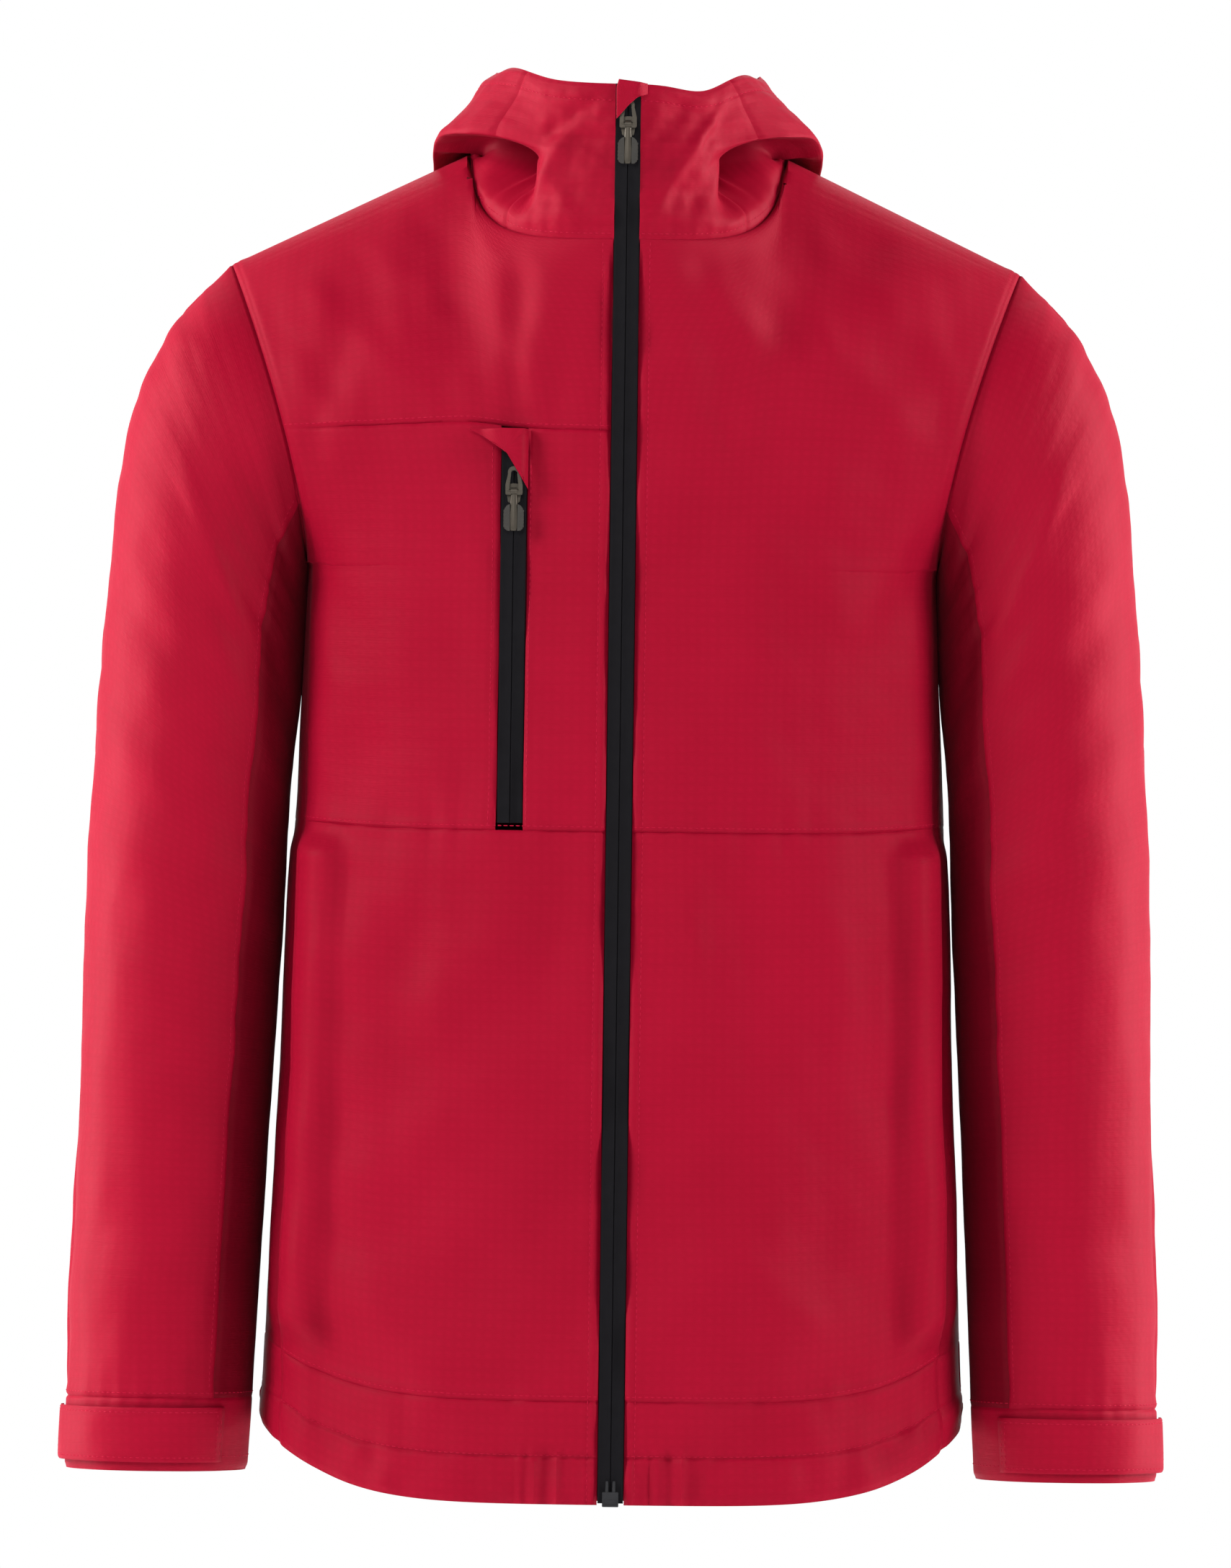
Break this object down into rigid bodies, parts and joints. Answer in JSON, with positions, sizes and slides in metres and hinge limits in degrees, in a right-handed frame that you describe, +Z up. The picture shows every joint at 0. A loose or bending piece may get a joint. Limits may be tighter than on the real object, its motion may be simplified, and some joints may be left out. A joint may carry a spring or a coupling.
{
  "type": "hardshell jacket",
  "caption": "Hooded waterproof jacket, zipped to the chin, with a vertical chest pocket, hand pockets and adjustable cuffs and hem.",
  "frame": {"origin": "the underside of the hanger loop at the inside of the back of the neck, where it rests on a hook", "axes": "+Z up along the front zip, -Y out of the front of the jacket, +X towards the wearer's left sleeve"},
  "size_m": [0.6124, 0.2682, 0.7977],
  "materials": {
    "shell_red": "matt fine plain weave, three layers",
    "shell_deep": "matt fine plain weave, three layers, darker where it turns away",
    "lining": "thin smooth knitted backer",
    "zip_tape": "matt rubbery coated tape",
    "zip_coil": "satin nylon coil",
    "zip_metal": "satin dark bronze",
    "black_plastic": "satin moulded acetal",
    "drawcord": "braided elastic",
    "black_webbing": "woven tape",
    "hook_tape": "hook side of a touch fastener",
    "loop_tape": "looped pile of a touch fastener"
  },
  "bodies": {
    "jacket": {"front_yoke_right": "shell_red", "chest_panel_outer_right": "shell_red", "chest_panel_inner_right": "shell_red", "front_upper_left": "shell_red", "front_lower_right": "shell_red", "front_lower_left": "shell_red", "side_panel_right": "shell_deep", "side_panel_left": "shell_deep", "back_yoke": "shell_red", "back_upper": "shell_red", "back_lower": "shell_red", "hem_front_right": "shell_deep", "hem_front_left": "shell_deep", "hem_back": "shell_deep", "storm_flap": "lining", "zip_tape_right": "zip_tape", "zip_tape_left": "zip_tape", "zip_coil": "zip_coil", "zip_retainer_box": "black_plastic", "zip_garage": "shell_red", "chest_zip_tape": "zip_tape", "chest_zip_garage": "shell_red", "chest_pocket_bag": "lining", "hand_zip_tape_right": "zip_tape", "hand_zip_tape_left": "zip_tape", "hand_pocket_bag_right": "lining", "hand_pocket_bag_left": "lining", "collar_right": "shell_red", "collar_left": "shell_red", "hood_side_right": "shell_red", "hood_side_left": "shell_red", "hood_centre": "shell_red", "hood_brim": "shell_red", "hanger_loop": "black_webbing", "hem_drawcord": "drawcord", "hem_cord_lock_right": "black_plastic", "hem_cord_lock_left": "black_plastic"},
    "front_slider": {"zip_slider": "zip_metal"},
    "front_puller": {"zip_puller": "zip_metal"},
    "chest_slider": {"chest_zip_slider": "zip_metal"},
    "chest_puller": {"chest_zip_puller": "zip_metal"},
    "hand_slider_right": {"hand_zip_slider_right": "black_plastic"},
    "hand_puller_right": {"hand_zip_puller_right": "black_plastic"},
    "lock_button_right": {"hem_lock_button_right": "black_plastic"},
    "sleeve_right": {"sleeve_upper_right": "shell_red", "sleeve_under_right": "shell_deep", "cuff_right": "shell_red", "cuff_loop_patch_right": "loop_tape"},
    "tab_right": {"cuff_tab_right": "shell_red", "cuff_hook_patch_right": "hook_tape"},
    "hand_slider_left": {"hand_zip_slider_left": "black_plastic"},
    "hand_puller_left": {"hand_zip_puller_left": "black_plastic"},
    "lock_button_left": {"hem_lock_button_left": "black_plastic"},
    "sleeve_left": {"sleeve_upper_left": "shell_red", "sleeve_under_left": "shell_deep", "cuff_left": "shell_red", "cuff_loop_patch_left": "loop_tape"},
    "tab_left": {"cuff_tab_left": "shell_red", "cuff_hook_patch_left": "hook_tape"}
  },
  "joints": [
    {"name": "front_zip", "type": "slide", "parent": "jacket", "child": "front_slider", "axis": [0, -0.0403, -0.9992], "range_m": [-0.012, 0.736]},
    {"name": "front_puller_swing", "type": "hinge", "parent": "front_slider", "child": "front_puller", "pos_m": [0, -0.15145, 0.00186], "axis": [-1, 0, 0], "range_deg": [0, 140]},
    {"name": "chest_zip", "type": "slide", "parent": "jacket", "child": "chest_slider", "axis": [0, -0.0471, -0.9989], "range_m": [-0.014, 0.159]},
    {"name": "chest_puller_swing", "type": "hinge", "parent": "chest_slider", "child": "chest_puller", "pos_m": [-0.06, -0.15558, -0.20057], "axis": [-1, 0, 0], "range_deg": [0, 140]},
    {"name": "hand_zip_right", "type": "slide", "parent": "jacket", "child": "hand_slider_right", "axis": [-0.0233, -0.0428, -0.9988], "range_m": [0, 0.229]},
    {"name": "hand_puller_swing_right", "type": "hinge", "parent": "hand_slider_right", "child": "hand_puller_right", "pos_m": [-0.17311, -0.11155, -0.40971], "axis": [-0.4382, 0.8984, -0.0283], "range_deg": [0, 140]},
    {"name": "hand_zip_left", "type": "slide", "parent": "jacket", "child": "hand_slider_left", "axis": [0.0233, -0.0428, -0.9988], "range_m": [0, 0.229]},
    {"name": "hand_puller_swing_left", "type": "hinge", "parent": "hand_slider_left", "child": "hand_puller_left", "pos_m": [0.17311, -0.11155, -0.40971], "axis": [-0.4382, -0.8984, 0.0283], "range_deg": [0, 140]},
    {"name": "sleeve_swing_right", "type": "hinge", "parent": "jacket", "child": "sleeve_right", "pos_m": [-0.219, -0.051, -0.07536], "axis": [0, 1, 0], "range_deg": [0, 30]},
    {"name": "cuff_tab_right", "type": "hinge", "parent": "sleeve_right", "child": "tab_right", "pos_m": [-0.21242, -0.1097, -0.72225], "axis": [0, 0, 1], "range_deg": [0, 100]},
    {"name": "lock_button_right", "type": "slide", "parent": "jacket", "child": "lock_button_right", "axis": [0, 0, -1], "range_m": [0, 0.003], "stiffness_N_per_m": 600, "springref_m": -0.002},
    {"name": "sleeve_swing_left", "type": "hinge", "parent": "jacket", "child": "sleeve_left", "pos_m": [0.219, -0.051, -0.07536], "axis": [0, -1, 0], "range_deg": [0, 30]},
    {"name": "cuff_tab_left", "type": "hinge", "parent": "sleeve_left", "child": "tab_left", "pos_m": [0.21242, -0.1097, -0.72225], "axis": [0, 0, -1], "range_deg": [0, 100]},
    {"name": "lock_button_left", "type": "slide", "parent": "jacket", "child": "lock_button_left", "axis": [0, 0, -1], "range_m": [0, 0.003], "stiffness_N_per_m": 600, "springref_m": -0.002}
  ]
}
